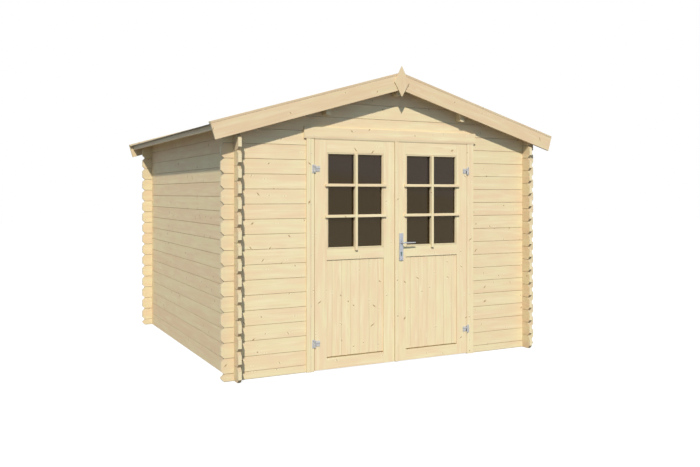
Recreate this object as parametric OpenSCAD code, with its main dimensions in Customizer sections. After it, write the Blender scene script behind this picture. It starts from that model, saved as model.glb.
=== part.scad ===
// Log cabin with half-glazed double doors under a shallow gable roof.
// The origin is on the ground in the middle of the plan: +X runs along the door front,
// +Y runs from the door front to the rear wall, and +Z is up.

/* [Walls] */
// Width over the outer faces of the side walls
cabin_w = 2780; // [2600:10:3400]
// Depth over the outer faces of the front and rear walls
cabin_d = 2780; // [2200:10:3600]
// Height of one log course
log_h = 115; // [111:1:125]
// Thickness of a log
log_t = 28; // [26:1:34]
// Length of log that runs on past the crossing wall
log_end = 100; // [80:1:140]
// Log courses in each side wall
side_courses = 17; // [16:1:19]
// Corner cut off the end of each log
end_cut = 26; // [12:1:28]
// Chamfer on each log's lower edges, over the joint
groove = 3.5; // [2:0.5:5]
// Chamfer on each log's upper edges, under the joint
groove_top = 1; // [0.5:0.5:3]

/* [Roof] */
// Pitch of the roof in degrees
roof_pitch = 16.3; // [14:0.1:20]
// Height planed off the top side log at its outer face
top_bevel = 5; // [2:0.5:8]
// Thickness of the roof boards
roof_board_t = 18; // [15:1:24]
// Thickness of the felt on the roof boards
felt_t = 3; // [2:0.5:5]
// Distance that the eave board stands out from the side wall
eave_reach = 172; // [130:1:220]
// Thickness of the eave board
fascia_t = 18; // [15:1:24]
// Height of the eave board at its inner face
fascia_h = 50; // [40:1:70]
// Distance that the felt runs past the eave board
felt_drip = 22; // [5:1:35]
// Width of the ridge strip of felt on each slope
ridge_strip = 160; // [100:5:250]
// Thickness of the gable boards
barge_t = 18; // [15:1:24]
// Width of the gable boards, square to the slope
barge_h = 120; // [100:1:140]
// Distance that the gable boards run past the eave board
barge_past = 40; // [20:1:80]
// Width of the cap lath on the gable edge
lath_w = 48; // [30:1:80]
// Thickness of the cap lath
lath_t = 18; // [12:1:25]

/* [Purlins] */
// Width of a purlin
purlin_w = 42; // [40:1:70]
// Height of a purlin at its middle
purlin_h = 145; // [120:1:160]
// Distance of each side purlin from the ridge
purlin_x = 640; // [560:5:760]
// Distance of the purlins' ends behind the gable boards
purlin_back = 25; // [10:5:60]

/* [Finial] */
// Width of the kite-shaped finial
finial_w = 138; // [100:1:180]
// Height of the finial above its widest line
finial_rise = 133; // [100:1:160]
// Height of the finial below its widest line
finial_drop = 120; // [90:1:150]
// Depth of the widest line below the top of the ridge
finial_below = 84; // [60:1:96]
// Thickness of the finial
finial_t = 18; // [12:1:25]

/* [Door frame] */
// Width over the door frame
frame_w = 1604; // [1500:2:1800]
// Width of each jamb's face
jamb_face = 67; // [60:1:80]
// Distance that the jambs stand out from the wall
jamb_proud = 14; // [8:1:18]
// Width of the raised outer half of each jamb's face
jamb_ridge_w = 36; // [28:1:40]
// Height of that raised half above the rest of the face
jamb_ridge = 2; // [1:0.5:4]
// Distance that the door frame stands in from the inner wall face
frame_inside = 32; // [28:1:50]
// Width of the stop that the leaves shut against
stop_w = 15; // [10:1:25]
// Depth of the groove that holds the ends of the logs
log_seat = 32; // [20:1:40]
// Height of the door head
head_h = 59.5; // [50:0.5:90]
// Length of the board over the doors
header_w = 1646; // [1610:2:1900]
// Height of the board over the doors
header_h = 92; // [70:1:110]
// Thickness of the board over the doors
header_t = 18; // [16:1:32]
// Height of the slope planed on that board's lower edge
header_slope_h = 19; // [10:1:30]
// Depth of that slope at the edge
header_slope = 2.5; // [1:0.5:5]
// Height of the door sill
sill_h = 70; // [64:1:90]

/* [Door leaves] */
// Thickness of a leaf
leaf_t = 42; // [38:1:48]
// Distance that the leaves stand out from the wall
leaf_proud = 12; // [6:1:14]
// Height of the leaves above the ground
leaf_lift = 8; // [6:1:20]
// Running gap round the leaves
leaf_gap = 5; // [4:0.5:8]
// Gap between the two leaves
meeting_gap = 6; // [5:0.5:10]
// Slope taken off the back of each meeting edge
meeting_bevel = 3; // [2:0.5:5]
// Width of the stile on the hinge side
stile_w = 105; // [90:1:130]
// Width of the stile at the meeting edge
meeting_stile_w = 104; // [86:1:120]
// Height of the top rail
top_rail_h = 101; // [80:1:130]
// Height of the middle rail's lower edge
mid_rail_z = 875; // [700:5:1000]
// Height of the middle rail
mid_rail_h = 87; // [70:1:120]
// Height of the bottom rail
bottom_rail_h = 87; // [70:1:150]
// Thickness of the boarded panel
panel_t = 20; // [16:1:24]
// Depth of the panel's face behind the leaf's face
panel_recess = 8; // [3:1:12]
// Width of a panel board
panel_board = 84; // [60:1:110]
// Depth of the V groove between panel boards
panel_groove = 1.5; // [1:0.5:5]
// Height of the drip groove under the panel
drip_h = 10; // [5:1:15]
// Thickness of the panel left behind the drip groove
drip_back = 5; // [4:0.5:8]
// Width of the beads round the glass
bead_w = 12; // [8:1:24]
// Depth of the beads' faces behind the leaf's faces
bead_recess = 1; // [1:0.5:4]
// Thickness of the glass
glass_t = 4; // [3:1:6]
// Width of the cover strip at the meeting edge
strip_w = 28; // [20:1:30]
// Thickness of the cover strip
strip_t = 11; // [8:1:16]

/* [Hinges] */
// Height of the lower hinge above the leaf's lower edge
hinge_up = 213; // [150:1:300]
// Depth of the upper hinge below the leaf's upper edge
hinge_down = 233; // [150:1:350]
// Radius of the hinge knuckles
knuckle_r = 6; // [5:0.5:7]
// Radius of the hinge pin
pin_r = 3; // [2:0.5:3.5]
// Height of one knuckle
knuckle_h = 20; // [16:1:26]
// Distance of the pin from the edge of the leaf
pin_out = 2.5; // [2:0.5:3]
// Distance of the pin in front of the leaf's face
pin_proud = 7; // [6.5:0.5:9]
// Width of the hinge plate on the jamb
hinge_plate_w = 15; // [12:1:24]
// Height of the hinge plate on the jamb
hinge_plate_h = 68; // [66:1:90]
// Thickness of the hinge plate and of the strap's web
hinge_t = 3; // [2:0.5:4]
// Length of the strap on the leaf
strap_l = 38; // [30:1:80]
// Height of the strap on the leaf
strap_h = 44; // [24:1:44]
// Thickness of the strap on the leaf
strap_t = 9; // [5:1:10]

/* [Handle] */
// Distance of the handle from the middle of the doorway
handle_x = 60; // [54:1:62]
// Height of the lever's axis
handle_z = 995; // [960:5:1050]
// Width of the handle plate
plate_w = 37; // [36:1:44]
// Height of the handle plate
plate_h = 228; // [215:1:260]
// Height of the lever's axis above the plate's middle
plate_lift = 36; // [30:1:45]
// Thickness of the handle plate
plate_t = 8; // [5:1:12]
// Distance of the lock cylinder below the lever's axis
lock_drop = 86; // [72:1:100]
// Radius of the lever's bar
lever_r = 7; // [6:0.5:10]
// Radius of the lever's tip
lever_end_r = 4.5; // [4:0.5:7]
// Length of the lever
lever_l = 115; // [90:1:150]
// Distance of the lever's bar from the handle plate
lever_out = 38; // [30:1:50]
// Radius of the spindle in the leaf
spindle_r = 7; // [5:0.5:8]

/* [Floor] */
// Width of a floor bearer
bearer_w = 45; // [35:1:70]
// Height of a floor bearer
bearer_h = 45; // [40:1:50]
// Floor bearers on each side of the middle one
side_bearers = 3; // [2:1:5]
// Thickness of the floor boards
floor_t = 18; // [15:1:19]

/* [Fits] */
// Clearance where one timber sits in another
fit = 0.3; // [0.2:0.1:0.6]
// Radial clearance of the hinge pins
pin_fit = 0.08; // [0.05:0.01:0.1]
// Radial clearance of the spindle and of the lock cylinder
turn_fit = 1; // [0.5:0.1:1.5]

/* [Hidden] */
$fn = 48;

half_w = cabin_w / 2;
half_d = cabin_d / 2;
front = -half_d;
wall_in = front + log_t;
side_log = cabin_d + 2 * log_end;
cross_log = cabin_w + 2 * log_end;
roof_y = half_d + log_end;

// The front and rear walls start with a half log, so the courses of crossing walls interlock.
cross_courses = side_courses - 1;
wall_top = log_h * (cross_courses + 0.5);
notch = log_h / 4 + fit / 2;
notch_w = log_t + 2 * fit;

// Heights of the roof's planes over the ridge, and what a thickness takes up vertically
slope = tan(roof_pitch);
upright = 1 / cos(roof_pitch);
ridge_z = side_courses * log_h - top_bevel + slope * half_w;
deck_z = ridge_z + roof_board_t * upright;
felt_z = deck_z + fit + felt_t * upright;
cap_z = felt_z + fit + lath_t * upright;
eave_x = half_w + eave_reach;
deck_x = eave_x - fascia_t;
barge_x = eave_x + barge_past;
gable_courses = ceil((ridge_z - wall_top) / log_h);

// Door frame and leaves, as seen on the right side of the doorway
frame_x = frame_w / 2;
jamb_x = frame_x - jamb_face;
leaf_x = jamb_x - leaf_gap;
leaf_in = meeting_gap / 2;
leaf_front = front - leaf_proud;
leaf_back = leaf_front + leaf_t;
stop_y = leaf_back + leaf_gap;
frame_back = wall_in + frame_inside;
head_z = wall_top - head_h;
leaf_top = head_z - leaf_gap;
log_stop = frame_x - log_seat;
stile_in = leaf_in + meeting_stile_w;
stile_out = leaf_x - stile_w;
glass_low = mid_rail_z + mid_rail_h;
glass_high = leaf_top - top_rail_h;
panel_low = leaf_lift + bottom_rail_h;
glass_y = leaf_front + leaf_t / 2;

pin_x = leaf_x + pin_out;
pin_y = leaf_front - pin_proud;
hinge_zs = [leaf_lift + hinge_up, leaf_top - hinge_down];
knuckle_gap = 0.5;

plate_z = handle_z - plate_lift;
lock_z = handle_z - lock_drop;
lock_r = 8.5;
lock_slot = 10;
lock_l = 33;

floor_z = bearer_h + floor_t;
bearer_step = (cabin_w - 2 * log_t - bearer_w - 2 * fit) / (2 * side_bearers);

// Height of the roof's lower plane at a distance x from the ridge
function roof_z(x) = ridge_z - slope * abs(x);

// Lower edge and height of course k in the front and rear walls
function course_z(k) = k == 0 ? 0 : log_h * (k - 0.5);
function course_h(k) = (k == 0 ? log_h / 2 : log_h) - fit;

// Corners of a log's end in elevation, lowest first; out is 1 at the end with the larger x
function log_corners(x, h, out, cut) =
    cut ? [[x - out * end_cut, 0], [x, end_cut], [x, h - end_cut], [x - out * end_cut, h]]
        : [[x, 0], [x, h]];

function reversed(points) = [for (i = [len(points) - 1:-1:0]) points[i]];

// Elevation of a log from x0 to x1, with the corners of its free ends cut off
module log_elevation(x0, x1, h, cut0 = true, cut1 = true) {
    polygon(concat(log_corners(x1, h, 1, cut1), reversed(log_corners(x0, h, -1, cut0))));
}

// Crossing notches of a log, at the distance at from its middle
module notches(at, h, below = true) {
    for (side = [-1, 1])
        translate([side * at, 0]) {
            if (below)
                translate([-notch_w / 2, -fit])
                    square([notch_w, notch + fit]);
            translate([-notch_w / 2, h + fit - notch])
                square([notch_w, notch]);
        }
}

// Section of a log, with the chamfers that make the grooves at the joints
module log_section(h) {
    half = log_t / 2;
    polygon([
        [groove - half, 0], [half - groove, 0], [half, groove], [half, h - groove_top],
        [half - groove_top, h], [groove_top - half, h], [-half, h - groove_top], [-half, groove]
    ]);
}

// Extrudes an elevation, drawn in X and Z, from y0 to y1
module along_y(y0, y1) {
    translate([0, y1, 0])
        rotate([90, 0, 0])
            linear_extrude(y1 - y0)
                children();
}

// A log of length l and height h along X: its elevation comes as children
module log(l, h) {
    intersection() {
        along_y(-log_t / 2, log_t / 2)
            children();
        translate([-l / 2, 0, 0])
            rotate([90, 0, 90])
                linear_extrude(l)
                    log_section(h);
    }
}

// The shape of everything under the roof, in elevation, drop below its boards
module roof_profile(drop) {
    polygon([
        [-eave_x, 0], [eave_x, 0], [eave_x, roof_z(eave_x) - drop],
        [0, ridge_z - drop], [-eave_x, roof_z(eave_x) - drop]
    ]);
}

// One side wall, on the +X side
module side_wall() {
    for (k = [0:side_courses - 1]) {
        h = log_h - fit;
        intersection() {
            translate([half_w - log_t / 2, 0, k * log_h])
                rotate([0, 0, 90])
                    log(side_log, h)
                        difference() {
                            log_elevation(-side_log / 2, side_log / 2, h);
                            notches(half_d - log_t / 2, h);
                        }
            if (k == side_courses - 1)
                along_y(-side_log, side_log)
                    roof_profile(fit);
        }
    }
}

module left_wall() {
    color("burlywood")
        mirror([1, 0, 0])
            side_wall();
}

module right_wall() {
    color("burlywood")
        side_wall();
}

// Course k of a front or rear wall, over its whole length
module cross_course(k) {
    h = course_h(k);
    translate([0, 0, course_z(k)])
        log(cross_log, h)
            difference() {
                log_elevation(-cross_log / 2, cross_log / 2, h);
                notches(half_w - log_t / 2, h, k > 0);
            }
}

module rear_wall() {
    color("burlywood")
        translate([0, half_d - log_t / 2, 0])
            for (k = [0:cross_courses])
                cross_course(k);
}

// Courses beside the doorway, on the +X side
module front_wall() {
    translate([0, front + log_t / 2, 0])
        for (k = [0:cross_courses]) {
            h = course_h(k);
            translate([0, 0, course_z(k)])
                log(cross_log, h)
                    difference() {
                        log_elevation(log_stop, cross_log / 2, h, cut0 = false);
                        notches(half_w - log_t / 2, h, k > 0);
                    }
        }
}

module front_wall_left() {
    color("burlywood")
        mirror([1, 0, 0])
            front_wall();
}

module front_wall_right() {
    color("burlywood")
        front_wall();
}

// Elevation of a purlin at a distance x from the ridge, larger all round by grow
module purlin_profile(x, grow = 0) {
    half = purlin_w / 2 + grow;
    low = roof_z(x) - purlin_h - grow;
    intersection() {
        translate([x - half, low])
            square([2 * half, 2 * purlin_h]);
        roof_profile(fit - grow);
    }
}

// Gable logs over the full courses, cut to the roof and pocketed for the purlins
module gable() {
    for (k = [cross_courses + 1:cross_courses + gable_courses]) {
        h = course_h(k);
        translate([0, 0, course_z(k)])
            log(cross_log, h)
                difference() {
                    intersection() {
                        log_elevation(-cross_log / 2, cross_log / 2, h);
                        translate([0, -course_z(k)])
                            roof_profile(fit);
                    }
                    notches(half_w - log_t / 2, h);
                    translate([0, -course_z(k)])
                        for (x = [-purlin_x, 0, purlin_x])
                            purlin_profile(x, fit);
                }
    }
}

module front_gable() {
    color("burlywood")
        translate([0, front + log_t / 2, 0])
            gable();
}

module rear_gable() {
    color("burlywood")
        translate([0, half_d - log_t / 2, 0])
            gable();
}

module purlin(x) {
    y = roof_y - purlin_back;
    color("tan")
        along_y(-y, y)
            purlin_profile(x);
}

module ridge_purlin() {
    purlin(0);
}

module side_purlins() {
    purlin(-purlin_x);
    purlin(purlin_x);
}

// A layer on the +X slope, from the ridge to x, between two heights over the ridge
module slope_layer(x, low, high, from = fit / 2) {
    polygon([
        [from, low - slope * from], [x, low - slope * x],
        [x, high - slope * x], [from, high - slope * from]
    ]);
}

module roof_boards() {
    color("tan")
        along_y(-roof_y, roof_y)
            slope_layer(deck_x, ridge_z, deck_z);
}

module roof_boards_left() {
    mirror([1, 0, 0])
        roof_boards();
}

module roof_boards_right() {
    roof_boards();
}

module roof_felt() {
    color("dimgray")
        along_y(-roof_y, roof_y)
            slope_layer(eave_x + felt_drip, deck_z + fit, felt_z);
}

module roof_felt_left() {
    mirror([1, 0, 0])
        roof_felt();
}

module roof_felt_right() {
    roof_felt();
}

// Folded strip of felt over the ridge, between the cap laths
module ridge_felt() {
    low = felt_z + fit;
    high = low + felt_t * upright;
    y = roof_y + barge_t - lath_w - fit;
    color("dimgray")
        along_y(-y, y)
            polygon([
                [-ridge_strip, low - slope * ridge_strip], [0, low],
                [ridge_strip, low - slope * ridge_strip], [ridge_strip, high - slope * ridge_strip],
                [0, high], [-ridge_strip, high - slope * ridge_strip]
            ]);
}

module eave_boards() {
    low = deck_z - slope * deck_x - fascia_h;
    color("wheat")
        along_y(-roof_y, roof_y)
            for (side = [0, 1])
                mirror([side, 0])
                    polygon([
                        [deck_x, low], [eave_x, low],
                        [eave_x, deck_z - slope * eave_x], [deck_x, deck_z - slope * deck_x]
                    ]);
}

// Board along the +X slope, whose top is at a height over the ridge, cut square at the eave
module sloping_board(top, depth, x) {
    polygon([
        [fit / 2, top - depth * upright - slope * fit / 2],
        [x - depth * sin(roof_pitch), top - slope * x - depth * cos(roof_pitch)],
        [x, top - slope * x],
        [fit / 2, top - slope * fit / 2]
    ]);
}

// Pair of gable boards on the ends of the front gable's roof boards
module gable_boards() {
    color("wheat")
        along_y(-roof_y - barge_t, -roof_y)
            for (side = [0, 1])
                mirror([side, 0])
                    sloping_board(felt_z, barge_h, barge_x);
}

module front_gable_boards() {
    gable_boards();
}

module rear_gable_boards() {
    mirror([0, 1, 0])
        gable_boards();
}

// Cap laths over the front gable's boards and the edge of the roof
module cap_laths() {
    y = -roof_y - barge_t;
    color("wheat")
        along_y(y, y + lath_w)
            for (side = [0, 1])
                mirror([side, 0])
                    sloping_board(cap_z, lath_t, barge_x + lath_t * sin(roof_pitch));
}

module front_cap_laths() {
    cap_laths();
}

module rear_cap_laths() {
    mirror([0, 1, 0])
        cap_laths();
}

// Kite-shaped board that covers the joint of the front gable boards
module finial() {
    y = -roof_y - barge_t;
    z = cap_z - finial_below;
    color("wheat")
        along_y(y - finial_t, y)
            polygon([[0, z - finial_drop], [finial_w / 2, z], [0, z + finial_rise], [-finial_w / 2, z]]);
}

// Section of the jamb on the +X side: a groove outside for the logs, a stop inside for the leaf
module jamb_section() {
    face = front - jamb_proud;
    edge = frame_x - jamb_ridge_w;
    polygon([
        [frame_x, face], [frame_x, front - fit], [log_stop - fit, front - fit],
        [log_stop - fit, wall_in + fit], [frame_x, wall_in + fit], [frame_x, frame_back],
        [jamb_x - stop_w, frame_back], [jamb_x - stop_w, stop_y], [jamb_x, stop_y],
        [jamb_x, face + jamb_ridge], [edge - jamb_ridge, face + jamb_ridge], [edge, face]
    ]);
}

module door_jamb() {
    color("wheat")
        linear_extrude(head_z)
            jamb_section();
}

module door_jamb_left() {
    mirror([1, 0, 0])
        door_jamb();
}

module door_jamb_right() {
    door_jamb();
}

// Head between the ends of the logs, with the stop for the tops of the leaves
module door_head() {
    color("wheat") {
        translate([fit - log_stop, front, head_z])
            cube([2 * (log_stop - fit), frame_back - front, head_h - fit]);
        translate([stop_w + fit - jamb_x, stop_y, head_z - stop_w])
            cube([2 * (jamb_x - stop_w - fit), frame_back - stop_y, stop_w + fit]);
    }
}

// Sill behind the lower edges of the leaves, between the stops
module door_sill() {
    half = jamb_x - stop_w - fit;
    color("wheat")
        translate([-half, stop_y, 0])
            cube([2 * half, frame_back - stop_y, sill_h]);
}

module header_board() {
    color("wheat")
        translate([-header_w / 2, front, head_z])
            rotate([90, 0, 90])
                linear_extrude(header_w)
                    polygon([
                        [0, 0], [0, header_h], [-header_t, header_h],
                        [-header_t, header_slope_h], [header_slope - header_t, 0]
                    ]);
}

// Bearers on the ground, from the door frame's back to the rear wall
module floor_bearers() {
    y0 = frame_back + fit;
    y1 = half_d - log_t - fit;
    color("tan")
        for (i = [-side_bearers:side_bearers])
            translate([i * bearer_step - bearer_w / 2, y0, 0])
                cube([bearer_w, y1 - y0, bearer_h]);
}

// Floor between the walls, cut round the door frame
module floor_deck() {
    half = half_w - log_t - fit;
    color("tan")
        translate([0, 0, bearer_h])
            linear_extrude(floor_t)
                difference() {
                    translate([-half, wall_in + fit])
                        square([2 * half, cabin_d - 2 * log_t - 2 * fit]);
                    translate([-frame_x - fit, wall_in - fit])
                        square([frame_w + 2 * fit, frame_inside + 2 * fit]);
                }
}

// Cylinder along Y from y0 to y1
module rod_y(r, y0, y1) {
    translate([0, y1, 0])
        rotate([90, 0, 0])
            cylinder(r = r, h = y1 - y0);
}

// Fixed half of one hinge on the +X side: a plate on the jamb, two knuckles and the pin
module hinge_plate() {
    y = front - jamb_proud + jamb_ridge;
    x = pin_x + knuckle_r + 2 * knuckle_gap;
    low = knuckle_h / 2 + knuckle_gap;
    translate([x, y - hinge_t, -hinge_plate_h / 2])
        cube([hinge_plate_w, hinge_t, hinge_plate_h]);
    for (side = [0, 1])
        mirror([0, 0, side]) {
            translate([pin_x, pin_y, low])
                cylinder(r = knuckle_r, h = knuckle_h);
            translate([pin_x, y - hinge_t, low])
                cube([knuckle_r + 3 * knuckle_gap, hinge_t, knuckle_h]);
        }
    translate([pin_x, pin_y, -low])
        cylinder(r = pin_r, h = 2 * low);
}

module hinge_plates() {
    color("silver")
        for (side = [0, 1])
            mirror([side, 0, 0])
                for (z = hinge_zs)
                    translate([0, 0, z])
                        hinge_plate();
}

// Moving half of one hinge on the +X side: the middle knuckle and the strap on the leaf
module hinge_strap() {
    x = pin_x - knuckle_r - 2 * knuckle_gap;
    difference() {
        union() {
            translate([pin_x, pin_y, -knuckle_h / 2])
                cylinder(r = knuckle_r, h = knuckle_h);
            translate([x - hinge_t, leaf_front - hinge_t, -knuckle_h / 2])
                cube([pin_x - x + hinge_t, hinge_t, knuckle_h]);
            translate([x - strap_l, leaf_front - strap_t, -strap_h / 2])
                cube([strap_l, strap_t, strap_h]);
        }
        translate([pin_x, pin_y, -knuckle_h])
            cylinder(r = pin_r + pin_fit, h = 2 * knuckle_h);
    }
}

module hinge_straps() {
    color("silver")
        for (z = hinge_zs)
            translate([0, 0, z])
                hinge_strap();
}

// Outline of the lock cylinder's round barrel and its slot, centred on the barrel
module lock_profile(grow = 0) {
    circle(r = lock_r + grow);
    translate([-lock_slot / 2 - grow, lock_r - lock_l - grow])
        square([lock_slot + 2 * grow, lock_l - lock_r + grow]);
}

// Meeting stile of a leaf, its edge sloped back so that the leaves pass each other
module meeting_stile() {
    translate([0, 0, leaf_lift])
        linear_extrude(leaf_top - leaf_lift)
            polygon([
                [leaf_in, leaf_front], [stile_in, leaf_front],
                [stile_in, leaf_back], [leaf_in + meeting_bevel, leaf_back]
            ]);
}

module hinge_stile() {
    translate([stile_out, leaf_front, leaf_lift])
        cube([stile_w, leaf_t, leaf_top - leaf_lift]);
}

// Rail between the stiles, from z0 to z1
module rail(z0, z1) {
    translate([stile_in, leaf_front, z0])
        cube([stile_out - stile_in, leaf_t, z1 - z0]);
}

module door_rails() {
    color("wheat") {
        rail(leaf_lift, panel_low);
        rail(mid_rail_z, glass_low);
        rail(glass_high, leaf_top);
    }
}

// Boarded panel in the lower opening, grooved between its boards on both faces
module door_panel() {
    w = stile_out - stile_in - 2 * fit;
    h = mid_rail_z - panel_low - 2 * fit;
    side_joints = floor(w / (2 * panel_board) - 0.5);
    middle = stile_in + fit + w / 2;
    face = leaf_front + panel_recess;
    color("wheat")
        difference() {
            translate([stile_in + fit, face, panel_low + fit])
                cube([w, panel_t, h]);
            for (i = [-side_joints - 1:side_joints])
                for (y = [face, face + panel_t])
                    translate([middle + (i + 0.5) * panel_board, y, panel_low])
                        linear_extrude(h + 2 * fit)
                            polygon([
                                [-panel_groove, 0], [0, -panel_groove],
                                [panel_groove, 0], [0, panel_groove]
                            ]);
            translate([stile_in, face - fit, panel_low])
                cube([w + 2 * fit, panel_t - drip_back + fit, drip_h]);
        }
}

module door_glass() {
    color("slategray", 0.6)
        translate([stile_in + fit, glass_y - glass_t / 2, glass_low + fit])
            cube([stile_out - stile_in - 2 * fit, glass_t, glass_high - glass_low - 2 * fit]);
}

// Beads in front of the glass and behind it, each a frame in the opening
module door_beads() {
    w = stile_out - stile_in - 2 * fit;
    h = glass_high - glass_low - 2 * fit;
    depth = (leaf_t - glass_t) / 2 - bead_recess - fit;
    color("wheat")
        for (y = [leaf_front + bead_recess, glass_y + glass_t / 2 + fit])
            difference() {
                translate([stile_in + fit, y, glass_low + fit])
                    cube([w, depth, h]);
                translate([stile_in + fit + bead_w, y - fit, glass_low + fit + bead_w])
                    cube([w - 2 * bead_w, depth + 2 * fit, h - 2 * bead_w]);
            }
}

module left_door_stiles() {
    color("wheat")
        mirror([1, 0, 0]) {
            meeting_stile();
            hinge_stile();
        }
}

module left_door_rails() {
    mirror([1, 0, 0])
        door_rails();
}

module left_door_panel() {
    mirror([1, 0, 0])
        door_panel();
}

module left_door_glass() {
    mirror([1, 0, 0])
        door_glass();
}

module left_door_beads() {
    mirror([1, 0, 0])
        door_beads();
}

module left_hinge_straps() {
    mirror([1, 0, 0])
        hinge_straps();
}

// The right leaf carries the handle, so its meeting stile is bored for the spindle and the lock
module right_door_stiles() {
    color("wheat") {
        difference() {
            meeting_stile();
            translate([handle_x, 0, handle_z])
                rod_y(spindle_r + turn_fit, leaf_front - fit, leaf_back + fit);
            along_y(leaf_front - fit, leaf_back + fit)
                translate([handle_x, lock_z])
                    lock_profile(turn_fit);
        }
        hinge_stile();
    }
}

module right_door_rails() {
    door_rails();
}

module right_door_panel() {
    door_panel();
}

module right_door_glass() {
    door_glass();
}

module right_door_beads() {
    door_beads();
}

module right_hinge_straps() {
    hinge_straps();
}

// Strip on the right leaf, over its meeting edge
module cover_strip() {
    color("wheat")
        translate([leaf_in, leaf_front - strip_t, leaf_lift])
            cube([strip_w, strip_t, leaf_top - leaf_lift]);
}

// Plates under the levers, one on each face of the right leaf
module handle_plates() {
    color("silver")
        for (y = [leaf_front - plate_t, leaf_back])
            difference() {
                translate([handle_x - plate_w / 2, y, plate_z - plate_h / 2])
                    cube([plate_w, plate_t, plate_h]);
                translate([handle_x, 0, handle_z])
                    rod_y(lever_r + turn_fit, y - fit, y + plate_t + fit);
                along_y(y - fit, y + plate_t + fit)
                    translate([handle_x, lock_z])
                        lock_profile(turn_fit / 2);
            }
}

module lock_cylinder() {
    color("darkgray")
        along_y(leaf_front - plate_t - turn_fit, leaf_back + plate_t + turn_fit)
            translate([handle_x, lock_z])
                lock_profile();
}

// Levers on both faces, their necks and the spindle that joins them
module lever_handle() {
    reach = plate_t + lever_out;
    color("silver")
        translate([handle_x, 0, handle_z]) {
            rod_y(spindle_r, leaf_front, leaf_back);
            for (y = [[leaf_front - reach, leaf_front], [leaf_back, leaf_back + reach]])
                rod_y(lever_r, y[0], y[1]);
            for (y = [leaf_front - reach, leaf_back + reach]) {
                translate([0, y, 0])
                    sphere(r = lever_r);
                translate([0, y, 0])
                    rotate([0, 90, 0])
                        cylinder(r1 = lever_r, r2 = lever_end_r, h = lever_l);
            }
        }
}

left_wall();
right_wall();
rear_wall();
rear_gable();
front_wall_left();
front_wall_right();
front_gable();
ridge_purlin();
side_purlins();
roof_boards_left();
roof_boards_right();
roof_felt_left();
roof_felt_right();
ridge_felt();
eave_boards();
front_gable_boards();
rear_gable_boards();
front_cap_laths();
rear_cap_laths();
finial();
door_jamb_left();
door_jamb_right();
door_head();
door_sill();
header_board();
floor_bearers();
floor_deck();
hinge_plates();
left_door_stiles();
left_door_rails();
left_door_panel();
left_door_glass();
left_door_beads();
left_hinge_straps();
right_door_stiles();
right_door_rails();
right_door_panel();
right_door_glass();
right_door_beads();
right_hinge_straps();
cover_strip();
handle_plates();
lock_cylinder();
lever_handle();
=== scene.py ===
"""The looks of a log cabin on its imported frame: timbers, felt, glazing, metalwork and studio."""
import math
import random

import bmesh
import bpy
from mathutils import Matrix, Vector


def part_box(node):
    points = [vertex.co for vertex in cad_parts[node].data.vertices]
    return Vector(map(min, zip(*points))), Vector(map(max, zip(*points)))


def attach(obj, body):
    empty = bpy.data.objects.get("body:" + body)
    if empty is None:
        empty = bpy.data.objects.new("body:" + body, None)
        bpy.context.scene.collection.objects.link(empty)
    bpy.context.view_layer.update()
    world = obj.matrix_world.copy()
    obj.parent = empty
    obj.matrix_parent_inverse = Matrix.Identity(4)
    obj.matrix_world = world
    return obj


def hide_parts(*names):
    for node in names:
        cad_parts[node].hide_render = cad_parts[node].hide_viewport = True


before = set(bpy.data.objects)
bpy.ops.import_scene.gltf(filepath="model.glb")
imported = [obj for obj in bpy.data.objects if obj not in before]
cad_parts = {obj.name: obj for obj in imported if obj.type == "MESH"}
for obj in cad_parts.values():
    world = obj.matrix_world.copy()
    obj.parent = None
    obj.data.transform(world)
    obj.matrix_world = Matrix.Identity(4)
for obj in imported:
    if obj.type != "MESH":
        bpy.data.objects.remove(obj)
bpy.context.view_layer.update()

bl_info = {
    "name": "Log cabin",
    "version": (1, 0, 0),
    "blender": (4, 5, 0),
    "location": "View3D > Sidebar > Log cabin",
    "description": "Dresses the frame of a log cabin with its timbers, felt, glazing and metalwork",
    "category": "Object",
}

X = Vector((1, 0, 0))
Y = Vector((0, 1, 0))
Z = Vector((0, 0, 1))
NO_TIP = 1000
BODY_OF_SIDE = {"left": "left_door", "right": "right_door"}
# Painted shade on the log walls, as tints of the logs' colour: the side walls darker and pinker,
# the front wall's right half a little darker, the other walls nearly untinted.
LOG_PAINTED_SHADES = {"": (0.99, 0.98, 0.98), "right": (0.955, 0.94, 0.94), "side": (0.93, 0.885, 0.86)}


# Sizes and colours

def length(name, description, default):
    """A length that a user can set, in metres."""
    return bpy.props.FloatProperty(
        name=name, description=description, default=default, min=0, precision=4, unit="LENGTH")


def colour(name, description, default):
    """A linear colour that a user can set."""
    return bpy.props.FloatVectorProperty(
        name=name, description=description, default=default, min=0, max=1, subtype="COLOR")


class CabinTimberSizes(bpy.types.PropertyGroup):
    """Sizes of the timbers' finer work"""
    eased: length("Eased edge", "Width planed off a board's sharp edges", 0.0015)
    strip_reach: length("Strip reach", "Reach of the meeting strip to the left leaf", 0.0022)
    finial_depth: bpy.props.FloatProperty(
        name="Finial depth", description="Share of the finial's thickness that is kept",
        default=0.6, min=0.3, max=1)
    seal: length("Seal clearance", "Gap between the draught seals and the leaves", 0.0008)
    seal_depth: length("Seal depth", "Distance of the draught seals behind the leaves' face", 0.005)
    seal_width: length("Seal width", "Width of a draught seal from front to back", 0.008)
    roof_board: length("Roof board", "Width of a roof board", 0.0931)
    roof_joint: length("Roof joint", "Chamfer beside the joints of the roof boards", 0.0025)
    floor_board: length("Floor board", "Width of a floor board", 0.112)
    panel_board: length("Panel board", "Width of a board in the leaves' lower panels", 0.084)
    joint: length("Joint", "Gap at a closed joint", 0.0004)
    bead: length("Bead", "Width of the beads round the glass", 0.012)
    bar: length("Glazing bar", "Width of a glazing bar", 0.023)
    bar_proud: length("Glazing bar relief", "Distance that a bar stands out from the leaf", 0.017)
    bar_lap: length("Glazing bar lap", "Length of a bar past the edge of the glass", 0.03)
    bar_head: length("Glazing bar head", "Length of the upright bar past the upper edge", 0.004)
    bar_foot: length("Glazing bar foot", "Length of the upright bar past the lower edge", 0.029)


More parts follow.
